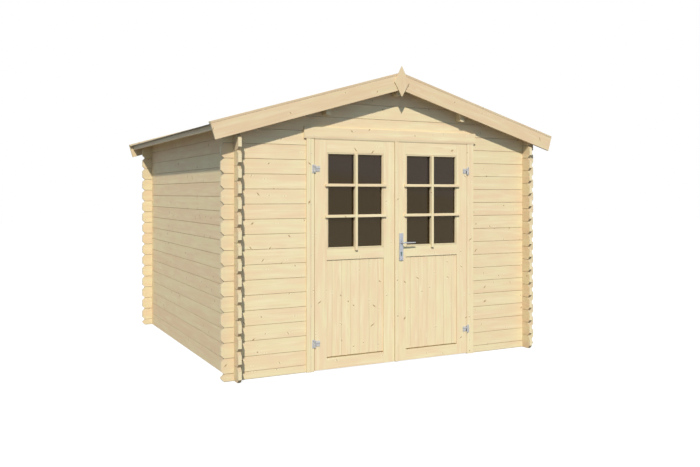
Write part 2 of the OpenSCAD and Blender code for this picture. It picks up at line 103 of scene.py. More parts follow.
class CabinFixingSizes(bpy.types.PropertyGroup):
    """Sizes of the felt's and the metalwork's finer work"""
    felt_width: length("Felt width", "Width of a roll of felt", 1.0)
    felt_lap: length("Felt lap", "Overlap of two courses of felt", 0.075)
    clout_step: length("Clout spacing", "Distance between the clout nails", 0.15)
    clout_edge: length("Clout edge", "Clout nails to the edge of a lap", 0.02)
    clout_margin: length("Clout margin", "Clout nails to the roof's edges", 0.03)
    lap_rise: length("Lap rise", "Height of the felt's lap over the course below", 0.0034)
    clout: length("Clout head", "Radius of a clout nail's head", 0.0055)
    ridge_nail: length("Ridge nail", "First nails of a gable board, from the ridge", 0.13)
    eave_nail: length("Eave nail", "Last nails of a gable board, from the eave", 0.10)
    purlin_half: length("Half purlin", "Half the width of a side purlin", 0.021)
    nail_margin: length("Nail margin", "Nails to the header's edges", 0.024)
    jamb_nail: length("Jamb nail", "Nails of the jambs to their ends", 0.12)
    handle_margin: length("Handle margin", "Handle screw to the plate's end", 0.011)
    screw_in: length("Screw inset", "Hinge screw to the plate's side", 0.008)
    nail: length("Nail head", "Radius of a nail's head", 0.0028)
    hinge_screw: length("Hinge screw", "Radius of the head of a hinge screw", 0.0040)
    handle_screw: length("Handle screw", "Radius of the head of a handle screw", 0.0038)
    hinge_plate: length("Hinge plate", "Thickness of the plates on the jambs", 0.003)
    screw_margin: length("Screw margin", "Screws of a hinge plate to its ends", 0.012)
    strap_screw_step: length(
        "Strap screw spacing", "Half the gap between a strap's screws", 0.011)
    strap_screw_up: length("Strap screw height", "Height of the screws on a strap", 0.0085)
    strap_web: length("Strap web", "Thickness of a strap away from its rib", 0.0035)
    strap_rib: length("Strap rib", "Height of the rounded rib along a strap", 0.024)
    metal_edge: length("Metal edge", "Rounding on the edges of plates and straps", 0.0012)


class CabinColours(bpy.types.PropertyGroup):
    """Colours of the finishes"""
    straw: colour("Straw", "Most of the wood", (0.800, 0.708, 0.436))
    pink: colour("Pink", "Warmer patches and boards", (0.790, 0.625, 0.398))
    pale: colour("Pale", "Bright streaks and the wood round knots", (0.860, 0.765, 0.505))
    sawn: colour("Sawn end", "End of a timber", (0.790, 0.690, 0.440))
    late_wood: colour("Late wood", "Dark edge of a growth ring", (0.560, 0.385, 0.190))
    knot: colour("Knot", "Wood of a knot", (0.340, 0.185, 0.080))
    bark: colour("Knot rim", "Dark rim of a knot", (0.150, 0.080, 0.036))
    # Painted shade, mixed into every narrow or sloped side and joint of the wood and towards the
    # tips of logs that run past a corner.
    shade: colour("Joint", "Wood in the bottom of a joint", (0.330, 0.270, 0.180))
    felt: colour("Felt", "Ground of the felt", (0.060, 0.063, 0.067))
    chips: colour("Felt chips", "Mineral chips on the felt", (0.150, 0.155, 0.160))
    zinc: colour("Zinc", "Plated steel of the hinges", (0.545, 0.545, 0.540))
    satin: colour("Satin metal", "Handle and its plates", (0.500, 0.520, 0.560))
    lock: colour("Lock", "Lock cylinder", (0.150, 0.220, 0.210))
    glass_gleam: colour("Glass gleam", "Tint of what the glass reflects", (0.95, 0.74, 0.48))
    # Painted reflection in the glass's base colour: brown below its skyline and grey-blue above.
    painted_reflection_low: colour("Lower glass", "Glass near the middle rail", (0.016, 0.011, 0.004))
    painted_reflection_high: colour("Upper glass", "Glass near the top rail", (0.018, 0.017, 0.022))


class CabinStudio(bpy.types.PropertyGroup):
    """Lights, camera and floor"""
    sun_strength: bpy.props.FloatProperty(
        name="Sun", description="Strength of the main light", default=3.72, min=0)
    sun_colour: colour("Sun colour", "Colour of the main light", (1.0, 0.938, 0.860))
    sky: colour("Sky", "Light from all round", (0.372, 0.486, 0.640))
    sun_size: bpy.props.FloatProperty(
        name="Sun size", description="Angle that the main light fills",
        default=math.radians(1.5), subtype="ANGLE")
    camera_height: length("Camera height", "Height of the camera over the ground", 1.407)
    camera_turn: bpy.props.FloatProperty(
        name="Camera turn", description="Turn of the camera from straight on to the doors",
        default=math.radians(27.196), subtype="ANGLE")
    camera_left: length("Camera left", "Distance of the camera left of the middle", 3.185)
    camera_front: length("Camera front", "Distance of the camera in front of the middle", 6.785)
    lens: bpy.props.FloatProperty(
        name="Lens", description="Focal length", default=38.594, unit="CAMERA")
    sensor: bpy.props.FloatProperty(
        name="Sensor", description="Width of the sensor", default=36, unit="CAMERA")
    rise: bpy.props.FloatProperty(
        name="Lens rise", description="Upward shift of the view", default=-0.0576)


# Meshes

def copy_of(*nodes):
    """The solids of some frame nodes in one bmesh, with merged corners and whole flat faces."""
    solids = bmesh.new()
    for node in nodes:
        solids.from_mesh(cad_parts[node].data)
    bmesh.ops.remove_doubles(solids, verts=solids.verts, dist=1e-5)
    bmesh.ops.dissolve_limit(
        solids, angle_limit=math.radians(1), verts=solids.verts, edges=solids.edges)
    return solids


def append(target, part, matrix=None):
    """Adds a bmesh to another, and frees it."""
    if matrix is not None:
        bmesh.ops.transform(part, matrix=matrix, verts=part.verts)
    scratch = bpy.data.meshes.new("scratch")
    part.to_mesh(scratch)
    part.free()
    target.from_mesh(scratch)
    bpy.data.meshes.remove(scratch)


def add_block(target, low, high):
    """Adds a block between two corners."""
    low, high = Vector(low), Vector(high)
    place = Matrix.LocRotScale((low + high) / 2, None, high - low)
    bmesh.ops.create_cube(target, size=1, matrix=place)


def trim(part, point, normal):
    """Cuts away what lies past a plane, and closes the cut."""
    geometry = part.verts[:] + part.edges[:] + part.faces[:]
    bmesh.ops.bisect_plane(
        part, geom=geometry, dist=1e-6, plane_co=point, plane_no=normal, clear_outer=True)
    open_edges = [edge for edge in part.edges if edge.is_boundary]
    bmesh.ops.holes_fill(part, edges=open_edges, sides=0)


def sawn(solids, normal, cuts, gap):
    """Saws solids into boards across a normal, at distances along it."""
    boards = bmesh.new()
    for low, high in zip([None, *cuts], [*cuts, None]):
        board = solids.copy()
        if low is not None:
            trim(board, normal * (low + gap / 2), -normal)
        if high is not None:
            trim(board, normal * (high - gap / 2), normal)
        append(boards, board)
    solids.free()
    return boards


def spread(low, high, step):
    """Evenly spaced cuts between two places, about step apart."""
    count = max(1, round((high - low) / step))
    return [low + (high - low) * i / count for i in range(1, count)]


def ease(part, width, angle=25, segments=1):
    """Bevels the edges that are sharper than an angle."""
    sharp = [edge for edge in part.edges
             if edge.is_manifold and edge.calc_face_angle(0) > math.radians(angle)]
    bmesh.ops.bevel(
        part, geom=sharp, offset=width, offset_type="OFFSET", segments=segments, profile=0.5,
        affect="EDGES", clamp_overlap=True, material=-1)


def islands(part):
    """Lists of connected vertices, one for each solid."""
    found = []
    seen = set()
    for start in part.verts:
        if start in seen:
            continue
        seen.add(start)
        island = [start]
        for vert in island:
            for edge in vert.link_edges:
                other = edge.other_vert(vert)
                if other not in seen:
                    seen.add(other)
                    island.append(other)
        found.append(island)
    return found


def longest_edge(island):
    """Direction of a solid's longest edge."""
    edges = {edge for vert in island for edge in vert.link_edges}
    longest = max(edges, key=lambda edge: edge.calc_length())
    return (longest.verts[1].co - longest.verts[0].co).normalized()


def two_levels(heights):
    """Lowest and highest of the lower and of the upper group of heights."""
    levels = sorted({round(height, 4) for height in heights})
    gap = max(range(len(levels) - 1), key=lambda i: levels[i + 1] - levels[i])
    return (levels[0], levels[gap]), (levels[gap + 1], levels[-1])


def thin_direction(island, along):
    """The direction across the length in which a solid is thinnest."""
    first = Y if abs(along.y) < 0.5 else X
    second = along.cross(first).normalized()

    def extent(direction):
        places = [vert.co.dot(direction) for vert in island]
        return max(places) - min(places)

    return min((first, second), key=extent)


def mark_grain(part, seed, along=None, tips=()):
    """Stores where each timber's surface lies in the tree that it was sawn from, how far it is
    along the timber, the timber's own tone, its sawn ends and its narrow or sloped sides. The
    tips, -1 and 1, are the ends that run on past a corner."""
    grain = part.verts.layers.float_vector.new("grain")
    board = part.verts.layers.float_vector.new("board")
    end = part.faces.layers.float.new("end")
    edge = part.faces.layers.float.new("edge")
    for number, island in enumerate(islands(part)):
        draw = random.Random(f"{seed} {number}")
        axis = along or longest_edge(island)
        through = thin_direction(island, axis)
        across = through.cross(axis)
        middle = sum((vert.co for vert in island), Vector()) / len(island)
        board_tone = draw.random()
        shift = Vector((
            draw.uniform(2, 40), draw.uniform(-0.05, 0.05),
            draw.choice((-1, 1)) * draw.uniform(0.035, 0.11)))
        stations = [vert.co.dot(axis) for vert in island]
        low, high = min(stations), max(stations)
        start = {(-1, 1): (low + high) / 2, (-1,): high, (1,): low}.get(tips, low)
        reach = max(high - start, start - low) if tips else NO_TIP
        for vert in island:
            place = vert.co - middle
            vert[grain] = shift + Vector((place.dot(axis), place.dot(across), place.dot(through)))
            # The distance along the timber and the reach of its tips set where the wood's shader
            # paints shade near the tips.
            vert[board] = (vert.co.dot(axis) - start, reach, board_tone)
        for face in {face for vert in island for face in vert.link_faces}:
            is_end = abs(face.normal.dot(axis)) > 0.95
            face[end] = is_end
            # These narrow and sloped sides get painted shade in the wood's shader.
            face[edge] = not is_end and abs(face.normal.dot(through)) < 0.97


def make_piece(part, name, body, slot, replaced=(), smooth=None, shade=""):
    """Turns a bmesh into a piece that rides on a body and stands for some frame nodes. With an
    angle to smooth, only the edges sharper than that stay sharp."""
    bmesh.ops.recalc_face_normals(part, faces=part.faces)
    mesh = bpy.data.meshes.new(name)
    part.to_mesh(mesh)
    part.free()
    if smooth is not None:
        mesh.shade_smooth()
        mesh.set_sharp_from_angle(angle=math.radians(smooth))
    mesh.materials.append(finish(slot, shade))
    piece = bpy.data.objects.new(name, mesh)
    bpy.context.scene.collection.objects.link(piece)
    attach(piece, body)
    if replaced:
        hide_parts(*replaced)
    return piece


def make_timber(part, name, body, slot, replaced=(), along=None, eased=None, tips=(), shade=""):
    """Eases the edges of some timbers, marks their grain and makes them a piece."""
    sizes = bpy.context.scene.cabin_timber
    ease(part, sizes.eased if eased is None else eased)
    mark_grain(part, name, along, tips)
    return make_piece(part, name, body, slot, replaced, shade=shade)


def dress_timber(nodes, name, body, slot, along=None, **looks):
    """Makes the timbers of some frame nodes a piece, without sawing them first."""
    make_timber(copy_of(*nodes), name, body, slot, nodes, along, **looks)


def make_metal(node, name, body, slot, rounding):
    """Rounds the edges of a node's metalwork and makes it a piece."""
    part = copy_of(node)
    ease(part, rounding, 40, 2)
    return make_piece(part, name, body, slot, [node], smooth=35)


def add_rod(target, start, end, radius, end_radius=None, segments=24):
    """Adds a closed rod or cone between two points."""
    start, end = Vector(start), Vector(end)
    run = end - start
    place = Matrix.LocRotScale((start + end) / 2, run.to_track_quat("Z", "Y"), None)
    bmesh.ops.create_cone(
        target, cap_ends=True, segments=segments, radius1=radius,
        radius2=radius if end_radius is None else end_radius, depth=run.length, matrix=place)


def add_nail(target, point, normal, radius):
    """Adds a flat nail head with a sloped rim, seated on a surface."""
    point, normal = Vector(point), Vector(normal).normalized()
    height = radius * 0.3
    add_rod(target, point - normal * height, point + normal * height, radius, radius * 0.75, 10)


def add_screw(target, point, normal, radius, turn=0.0):
    """Adds a low domed screw head with a cross recess."""
    head = bmesh.new()
    bmesh.ops.create_circle(head, cap_ends=True, segments=20, radius=radius)
    slot = radius * 0.16
    for direction in (X, Y):
        for side in (-1, 1):
            for place in (slot, radius * 0.62):
                geometry = head.verts[:] + head.edges[:] + head.faces[:]
                bmesh.ops.bisect_plane(
                    head, geom=geometry, dist=1e-7, plane_co=direction * side * place,
                    plane_no=direction)
    raised = bmesh.ops.extrude_face_region(head, geom=head.faces[:])
    top = [item for item in raised["geom"] if isinstance(item, bmesh.types.BMVert)]
    for vert in top:
        away = (vert.co.x ** 2 + vert.co.y ** 2) / radius ** 2
        vert.co.z = radius * (0.42 - 0.24 * away)
    recess = []
    for face in raised["geom"]:
        if isinstance(face, bmesh.types.BMFace):
            middle = face.calc_center_median()
            near, far = sorted((abs(middle.x), abs(middle.y)))
            if near < slot * 0.99 and far < radius * 0.6:
                recess.append(face)
    sunk = bmesh.ops.extrude_face_region(head, geom=recess)
    floor = [item for item in sunk["geom"] if isinstance(item, bmesh.types.BMVert)]
    bmesh.ops.translate(head, verts=floor, vec=(0, 0, -radius * 0.28))
    normal = Vector(normal).normalized()
    place = (Matrix.Translation(Vector(point)) @ normal.to_track_quat("Z", "Y").to_matrix().to_4x4()
             @ Matrix.Rotation(turn, 4, "Z"))
    append(target, head, place)


# Shaders

class Value:
    """A node's output. The operators on it add Math nodes."""

    def __init__(self, shader, socket):
        self.shader = shader
        self.socket = socket

    def math(self, operation, *others):
        return self.shader.node(
            "ShaderNodeMath", {"operation": operation}, dict(enumerate((self, *others))))

    def __add__(self, other):
        return self.math("ADD", other)

    __radd__ = __add__

    def __mul__(self, other):
        return self.math("MULTIPLY", other)

    __rmul__ = __mul__

    def __sub__(self, other):
        return self.math("SUBTRACT", other)

    def __rsub__(self, other):
        return self * -1 + other

    def __truediv__(self, other):
        return self.math("DIVIDE", other)


class Shader:
    """A node tree that is written as expressions."""

    def __init__(self, tree):
        self.tree = tree

    def node(self, kind, settings=None, inputs=None, output=0):
        """Adds a node, with its settings and then its inputs, and returns one output."""
        node = self.tree.nodes.new(kind)
        for name, value in (settings or {}).items():
            setattr(node, name, value)
        for name, value in (inputs or {}).items():
            self.feed(node.inputs[name], value)
        return Value(self, node.outputs[output])

    def feed(self, socket, value):
        """Links a value to a socket, or sets a constant on it."""
        if isinstance(value, Value):
            self.tree.links.new(value.socket, socket)
        elif socket.type == "RGBA":
            socket.default_value = (*value, 1)
        else:
            socket.default_value = value

    def attribute(self, name, output="Fac"):
        return self.node("ShaderNodeAttribute", {"attribute_name": name}, {}, output)

    def mix(self, factor, first, second):
        """A colour between two others."""
        inputs = {0: factor, 6: first, 7: second}
        return self.node("ShaderNodeMix", {"data_type": "RGBA"}, inputs, 2)

    def split(self, vector):
        """The three parts of a vector."""
        parts = self.node("ShaderNodeSeparateXYZ", {}, {0: vector}).socket.node
        return [Value(self, socket) for socket in parts.outputs]

    def join(self, x, y, z):
        return self.node("ShaderNodeCombineXYZ", {}, {0: x, 1: y, 2: z})

    def noise(self, vector, scale=1.0, detail=2.0, roughness=0.5):
        return self.node(
            "ShaderNodeTexNoise", {},
            {"Vector": vector, "Scale": scale, "Detail": detail, "Roughness": roughness})

    def fade(self, value, start, stop, low=0.0, high=1.0):
        """A smooth step from low at start to high at stop."""
        return self.node(
            "ShaderNodeMapRange", {"interpolation_type": "SMOOTHSTEP"},
            {0: value, 1: start, 2: stop, 3: low, 4: high})

    def bump(self, height, distance, strength=1.0):
        return self.node(
            "ShaderNodeBump", {}, {"Strength": strength, "Distance": distance, "Height": height})


def new_material(name, **constants):
    """A material with constants on its surface shader, and the means to write its nodes."""
    material = bpy.data.materials.new(name)
    material.use_nodes = True
    shader = Shader(material.node_tree)
    surface = material.node_tree.nodes["Principled BSDF"]
    for socket, value in constants.items():
        shader.feed(surface.inputs[socket.replace("_", " ")], value)
    return material, shader, surface.inputs


def softwood(name, warmth=0.5, knots=0.62, tint_and_painted_shade=(1.0, 1.0, 1.0)):
    """Planed spruce, with growth rings round the pith, streaks, knots and sawn ends, and painted
    shade on narrow and sloped sides, in joints and near the tips of logs.
    """
    colours = bpy.context.scene.cabin_colours
    material, shader, surface = new_material(name, Specular_IOR_Level=0.10)
    along, across, through = shader.split(shader.attribute("grain", "Vector"))
    station, reach_of_board, tone = shader.split(shader.attribute("board", "Vector"))
    end = shader.attribute("end")
    edge = shader.attribute("edge")

    # Branches cross the board: one to a cell, only in some cells, some cut round and some slanting.
    cells_per_metre = 7.5
    u = along * 0.85
    cells = shader.node(
        "ShaderNodeTexVoronoi", {"voronoi_dimensions": "2D"},
        {"Vector": shader.join(u, across, 0.0), "Scale": cells_per_metre}).socket.node
    lot = shader.node("ShaderNodeSeparateColor", {}, {0: Value(shader, cells.outputs["Color"])})
    size_lot, chance, slant_lot = (Value(shader, part) for part in lot.socket.node.outputs)
    knot_u, knot_v, _ = shader.split(Value(shader, cells.outputs["Position"]))
    from_u = (u - knot_u) / 0.85
    from_v = across - knot_v
    slant = (slant_lot - 0.5) * 2.4
    skewed = from_v - from_u * slant
    stretched = from_u * (1.0 - 0.45 * size_lot)
    knot_radius = 0.0020 + 0.0042 * size_lot * size_lot
    reach = (skewed * skewed + stretched * stretched).math("SQRT") / knot_radius
    present = chance.math("LESS_THAN", knots)
    ragged = shader.noise(shader.join(along, across, 0.0), 260.0, 1.0)
    knot = shader.fade(reach + ragged * 0.6, 1.5, 0.95) * present
    rim = shader.fade(reach, 0.55, 1.0) * knot * slant_lot
    swirl = (from_v * from_v * 5.0 + from_u * from_u * 0.55).math("SQRT")
    halo = shader.fade(swirl, 0.030, 0.004) * present

    # Growth rings, which wander along the length and part round the knots
    wander = shader.noise(shader.join(along * 0.8, across * 5.0, through * 5.0), 1.0, 1.0)
    to_pith = (across * across + through * through).math("SQRT")
    rings = (to_pith + wander * 0.03 + halo * 0.010 + along * 0.004) / 0.0036
    phase = rings.math("FRACT")
    year = shader.node(
        "ShaderNodeTexWhiteNoise", {"noise_dimensions": "1D"}, {"W": rings.math("FLOOR")})
    late = shader.fade(phase, 0.35, 0.92) * shader.fade(phase, 1.0, 0.93) * (0.45 + year * 0.55)

    # Broad and fine streaks along the grain, and cloudy patches
    broad = shader.noise(shader.join(along * 0.9, across * 26.0, through * 26.0), 1.0, 2.0)
    fine = shader.noise(shader.join(along * 6.0, across * 420.0, through * 420.0), 1.0, 2.0)
    blotch = shader.noise(shader.join(along * 4.0, across * 14.0, through * 14.0), 1.0, 2.0)
    shine = shader.noise(shader.join(along * 3.0, across * 34.0 + 9.0, through * 34.0), 1.0, 1.0)

    # The tint is the trim's and the other timbers' own colour, and painted shade for the log walls.
    straw = [level * share for level, share in zip(colours.straw, tint_and_painted_shade)]
    pink = [level * share for level, share in zip(colours.pink, tint_and_painted_shade)]
    pale = [level * share for level, share in zip(colours.pale, tint_and_painted_shade)]
    lean = tone * 0.20 + broad * 0.60 + blotch * 0.80 + (warmth - 0.5)
    wood = shader.mix(shader.fade(lean, 0.56, 1.02), straw, pink)
    wood = shader.mix(shader.fade(shine, 0.50, 0.78) * 0.55, wood, pale)
    wood = shader.mix(late * 0.16 + (broad - 0.5) * 0.10 + fine * 0.04, wood, colours.late_wood)
    wood = shader.mix(halo * 0.75, wood, pale)
    swept = shader.fade(swirl, 0.013, 0.017) * shader.fade(swirl, 0.024, 0.018)
    wood = shader.mix(swept * present * ragged * 0.5, wood, colours.late_wood)
    wood = shader.mix(shader.fade(reach, 2.4, 1.0) * present * 0.35, wood, colours.late_wood)
    wood = shader.mix(knot * 0.85, wood, shader.mix(rim, colours.knot, colours.bark))
    sawn_end = shader.mix(late * 0.35, colours.sawn, colours.late_wood)
    wood = shader.mix(end * 0.8, wood, sawn_end)
    # Painted shade: logs darken over their last tenth of a metre past a corner, and every narrow or
    # sloped side, chamfer and joint is darkened, more so near those tips.
    painted_tip_shade = shader.fade(station.math("ABSOLUTE") - reach_of_board, -0.106, -0.094)
    wood = shader.mix(painted_tip_shade * (1 - end) * 0.14, wood, colours.shade)
    wood = shader.mix(edge * (0.24 + painted_tip_shade * 0.12), wood, colours.shade)
    shader.feed(surface["Base Color"], wood)
    shader.feed(surface["Roughness"], 0.56 + fine * 0.12 + end * 0.12)
    height = late * 0.35 + fine * 0.5 + knot * 0.5
    shader.feed(surface["Normal"], shader.bump(height, 0.0004, 0.6))
    return material


def mineral_felt(name):
    """Bitumen felt faced with slate chips."""
    colours = bpy.context.scene.cabin_colours
    material, shader, surface = new_material(name, Specular_IOR_Level=0.3)
    place = shader.node("ShaderNodeTexCoord", {}, {}, "Object")
    chips = shader.node("ShaderNodeTexVoronoi", {}, {"Vector": place, "Scale": 620.0}).socket.node
    shine = shader.node("ShaderNodeSeparateColor", {}, {0: Value(shader, chips.outputs["Color"])})
    patches = shader.noise(place, 3.0, 4.0)
    ground = shader.mix(shader.fade(shine, 0.2, 0.9), colours.felt, colours.chips)
    worn = shader.mix(shader.fade(patches, 0.35, 0.75) * 0.35, ground, colours.chips)
    shader.feed(surface["Base Color"], worn)
    shader.feed(surface["Roughness"], 0.82 + shine * 0.15)
    height = Value(shader, chips.outputs["Distance"]) * -1 + patches * 0.5
    shader.feed(surface["Normal"], shader.bump(height, 0.0008, 0.7))
    return material


def metal(name, base, rough, brushed):
    """Metal with faint cloudy or brushed changes of sheen."""
    material, shader, surface = new_material(name, Metallic=0.6)
    place = shader.node("ShaderNodeTexCoord", {}, {}, "Object")
    x, y, z = shader.split(place)
    cloud = shader.noise(place, 90.0, 3.0)
    strokes = shader.noise(shader.join(x * 1800.0, y * 1800.0, z * 60.0), 1.0, 2.0)
    darker = [level * 0.78 for level in base]
    shader.feed(surface["Base Color"], shader.mix(shader.fade(cloud, 0.3, 0.8), base, darker))
    shader.feed(surface["Roughness"], rough + (cloud - 0.5) * 0.15 + (strokes - 0.5) * brushed)
    shader.feed(surface["Normal"], shader.bump(strokes * brushed + cloud * 0.3, 0.0001, 0.4))
    return material


def window_glass(name):
    """Float glass in front of a dark room. Its base colour is a painted reflection, a brown
    distance below a wavering skyline with paler air above it, and the specular tint turns its real
    reflections brown.
    """
    colours = bpy.context.scene.cabin_colours
    low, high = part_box("left_door_glass")
    material, shader, surface = new_material(
        name, Specular_IOR_Level=1.0, Specular_Tint=colours.glass_gleam)
    place = shader.node("ShaderNodeTexCoord", {}, {}, "Object")
    x, _, z = shader.split(place)
    ripple = shader.noise(place, 3.0, 2.0)
    # Painted reflection: the base colour turns from brown to grey-blue across a wavering line above
    # the panes' middle.
    painted_skyline = z + x * 0.16 + ripple * 0.16
    middle = (low.z + high.z) / 2 + 0.20
    rise = shader.fade(painted_skyline, middle - 0.05, middle + 0.08)
    shader.feed(surface["Base Color"], shader.mix(rise, colours.painted_reflection_low, colours.painted_reflection_high))
    dust = shader.noise(place, 9.0, 3.0)
    shader.feed(surface["Roughness"], 0.04 + dust * 0.05)
    shader.feed(surface["Alpha"], 0.66 + dust * 0.08)
    shader.feed(surface["Normal"], shader.bump(ripple, 0.002, 0.15))
    return material


def make_finish(slot, shade, name):
    """The material of one of the record's slots, or a copy of it with painted shade."""
    colours = bpy.context.scene.cabin_colours
    if slot == "felt":
        return mineral_felt(name)
    if slot == "glass":
        return window_glass(name)
    metals = {
        "hinge_steel": (colours.zinc, 0.42, 0.05), "handle_metal": (colours.satin, 0.36, 0.12),
        "lock_metal": (colours.lock, 0.38, 0.1)}
    if slot in metals:
        return metal(name, *metals[slot])
    timbers = {
        "log_timber": {"tint_and_painted_shade": LOG_PAINTED_SHADES[shade]},
        "door_timber": {"warmth": 0.52},
        "trim_timber": {"warmth": 0.60, "tint_and_painted_shade": (0.90, 0.86, 0.85)}}
    return softwood(name, **timbers.get(slot, {"warmth": 0.55, "tint_and_painted_shade": (0.94, 0.92, 0.9)}))


def finish(slot, shade=""):
    """The slot's material, made once for each painted shade."""
    name = f"{slot}{shade}_finish"
    return bpy.data.materials.get(name) or make_finish(slot, shade, name)


# Pieces

class CabinOperator(bpy.types.Operator):
    """What all the cabin's operators share"""
    bl_options = {"REGISTER", "UNDO"}

    def execute(self, context):
        self.build(context.scene)
        return {"FINISHED"}


class CABIN_OT_log_walls(CabinOperator):
    """Make the logs of the walls and gables"""
    bl_idname = "cabin.log_walls"
    bl_label = "Log walls"

    def build(self, scene):
        # The side walls and the front wall's right half take darker copies of the log finish, as
        # painted shade.
        for node in ("left_wall", "right_wall"):
            dress_timber(
                [node], f"{node}_logs", "cabin", "log_timber", Y, tips=(-1, 1), shade="side")
        one_tip = {"front_wall_left": (-1,), "front_wall_right": (1,)}
        for node in (
                "rear_wall", "rear_gable", "front_wall_left", "front_wall_right", "front_gable"):
            dress_timber(
                [node], f"{node}_logs", "cabin", "log_timber", X, tips=one_tip.get(node, (-1, 1)),
                shade="right" if node == "front_wall_right" else "")


class CABIN_OT_roof_timbers(CabinOperator):
    """Make the purlins, roof boards, eave boards, gable boards, cap laths and finial"""
    bl_idname = "cabin.roof_timbers"
    bl_label = "Roof timbers"

    def build(self, scene):
        sizes = scene.cabin_timber
        dress_timber(["ridge_purlin", "side_purlins"], "purlins", "cabin", "roof_timber", Y)
        for side in ("left", "right"):
            node = f"roof_boards_{side}"
            low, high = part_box(node)
            cuts = spread(low.y, high.y, sizes.roof_board)
            boards = sawn(copy_of(node), Y, cuts, sizes.joint)
            make_timber(
                boards, f"{side}_roof_boards", "cabin", "roof_timber", [node],
                eased=sizes.roof_joint)
        dress_timber(["eave_boards"], "eave_fascias", "cabin", "trim_timber", Y)
        for end in ("front", "rear"):
            for node, piece in (("gable_boards", "bargeboards"), ("cap_laths", "capping")):
                dress_timber([f"{end}_{node}"], f"{end}_{piece}", "cabin", "trim_timber")
        finial = copy_of("finial")
        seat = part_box("finial")[1].y
        bmesh.ops.scale(
            finial, vec=(1, sizes.finial_depth, 1), verts=finial.verts,
            space=Matrix.Translation((0, -seat, 0)))
        make_timber(
            finial, "kite_finial", "cabin", "trim_timber", ["finial"], Z, eased=0.0008)


class CABIN_OT_felt(CabinOperator):
    """Lay the felt in lapped courses, and nail it down"""
    bl_idname = "cabin.felt"
    bl_label = "Roofing felt"

    def build(self, scene):
        sizes = scene.cabin_fixings
        low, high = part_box("roof_felt_right")
        ridge_low, ridge_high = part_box("ridge_felt")
        slope = (high.z - low.z) / (high.x - low.x)
        pitch = math.atan(slope)
        nails = bmesh.new()
        for side, sign in (("left", -1), ("right", 1)):
            node = f"roof_felt_{side}"
            down = Vector((sign * math.cos(pitch), 0, -math.sin(pitch)))
            up = Vector((sign * math.sin(pitch), 0, math.cos(pitch)))
            peak = Vector((0, 0, high.z))
            eave = (high.x - low.x) / math.cos(pitch)
            lap = eave - sizes.felt_width
            sheets = copy_of(node)
            strip = bmesh.new()
            add_block(strip, (0, low.y, 0), (sizes.felt_lap, high.y, 0.003))
            turn = Matrix.Rotation(pitch if sign > 0 else math.pi - pitch, 4, "Y")
            flip = Matrix.Scale(sign, 4, Z)
            place = Matrix.Translation(peak + down * (lap - sizes.felt_lap / 2) + up * 0.0004)
            append(sheets, strip, place @ turn @ flip)
            ease(sheets, 0.0008)
            make_piece(sheets, f"{side}_felt", "cabin", "felt", [node])
            half_strip = ridge_high.x / math.cos(pitch)
            lap_row = peak + down * (lap + sizes.felt_lap / 2 - sizes.clout_edge)
            rows = (
                (lap_row + up * sizes.lap_rise, low, high),
                (peak + down * (eave - sizes.clout_margin), low, high),
                (Z * ridge_high.z + down * (half_strip - sizes.clout_edge), ridge_low, ridge_high))
            for place, near, far in rows:
                steps = int((far.y - near.y) / sizes.clout_step)
                run = far.y - near.y - 2 * sizes.clout_margin
                for step in range(steps + 1):
                    y = near.y + sizes.clout_margin + run * step / steps
                    add_nail(nails, place + Y * y, up, sizes.clout)
        strip = copy_of("ridge_felt")
        ease(strip, 0.0008)
        make_piece(strip, "ridge_strip", "cabin", "felt", ["ridge_felt"])
        make_piece(nails, "clout_nails", "cabin", "hinge_steel")


class CABIN_OT_door_frame(CabinOperator):
    """Make the door frame and the board over the doors"""
    bl_idname = "cabin.door_frame"
    bl_label = "Door frame"

    def build(self, scene):
        dress_timber(["door_jamb_left", "door_jamb_right"], "door_jambs", "cabin", "door_timber", Z)
        dress_timber(["door_head", "door_sill"], "door_head_and_sill", "cabin", "door_timber", X)
        dress_timber(["header_board"], "door_header", "cabin", "door_timber", X)
        self.fit_seals(scene.cabin_timber)

    def fit_seals(self, sizes):
        """Pale draught seals in the gaps beside the leaves and over them."""
        low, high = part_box("right_door_stiles")
        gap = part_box("header_board")[0].z - high.z
        side_face = low.y + sizes.seal_depth
        head_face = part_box("header_board")[0].y + 0.0035
        strips = bmesh.new()
        for side in (-1, 1):
            inner, outer = sorted((side * (high.x + sizes.seal), side * (high.x + gap)))
            add_block(
                strips, (inner, side_face, low.z), (outer, side_face + sizes.seal_width, high.z))
        add_block(
            strips, (-high.x, head_face, high.z + sizes.seal),
            (high.x, low.y + sizes.seal_width, high.z + gap))
        make_timber(strips, "draught_seals", "cabin", "door_timber", eased=0.0003)


class CABIN_OT_leaves(CabinOperator):
    """Make the stiles, rails and boarded panels of the two leaves"""
    bl_idname = "cabin.leaves"
    bl_label = "Door leaves"

    def build(self, scene):
        sizes = scene.cabin_timber
        for side, body in BODY_OF_SIDE.items():
            for part, axis in (("stiles", Z), ("rails", X)):
                dress_timber(
                    [f"{side}_door_{part}"], f"{side}_leaf_{part}", body, "door_timber", axis,
                    eased=0.0006)
            node = f"{side}_door_panel"
            low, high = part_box(node)
            middle = (low.x + high.x) / 2
            count = math.floor((high.x - low.x) / (2 * sizes.panel_board) - 0.5)
            cuts = [middle + (i + 0.5) * sizes.panel_board for i in range(-count - 1, count + 1)]
            boards = sawn(copy_of(node), X, cuts, sizes.joint)
            make_timber(
                boards, f"{side}_leaf_panel", body, "door_timber", [node], Z, eased=0.0006)
        low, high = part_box("cover_strip")
        strip = bmesh.new()
        add_block(strip, (-sizes.strip_reach, low.y, low.z), high)
        make_timber(
            strip, "meeting_strip", "right_door", "door_timber", ["cover_strip"], Z, eased=0.002)


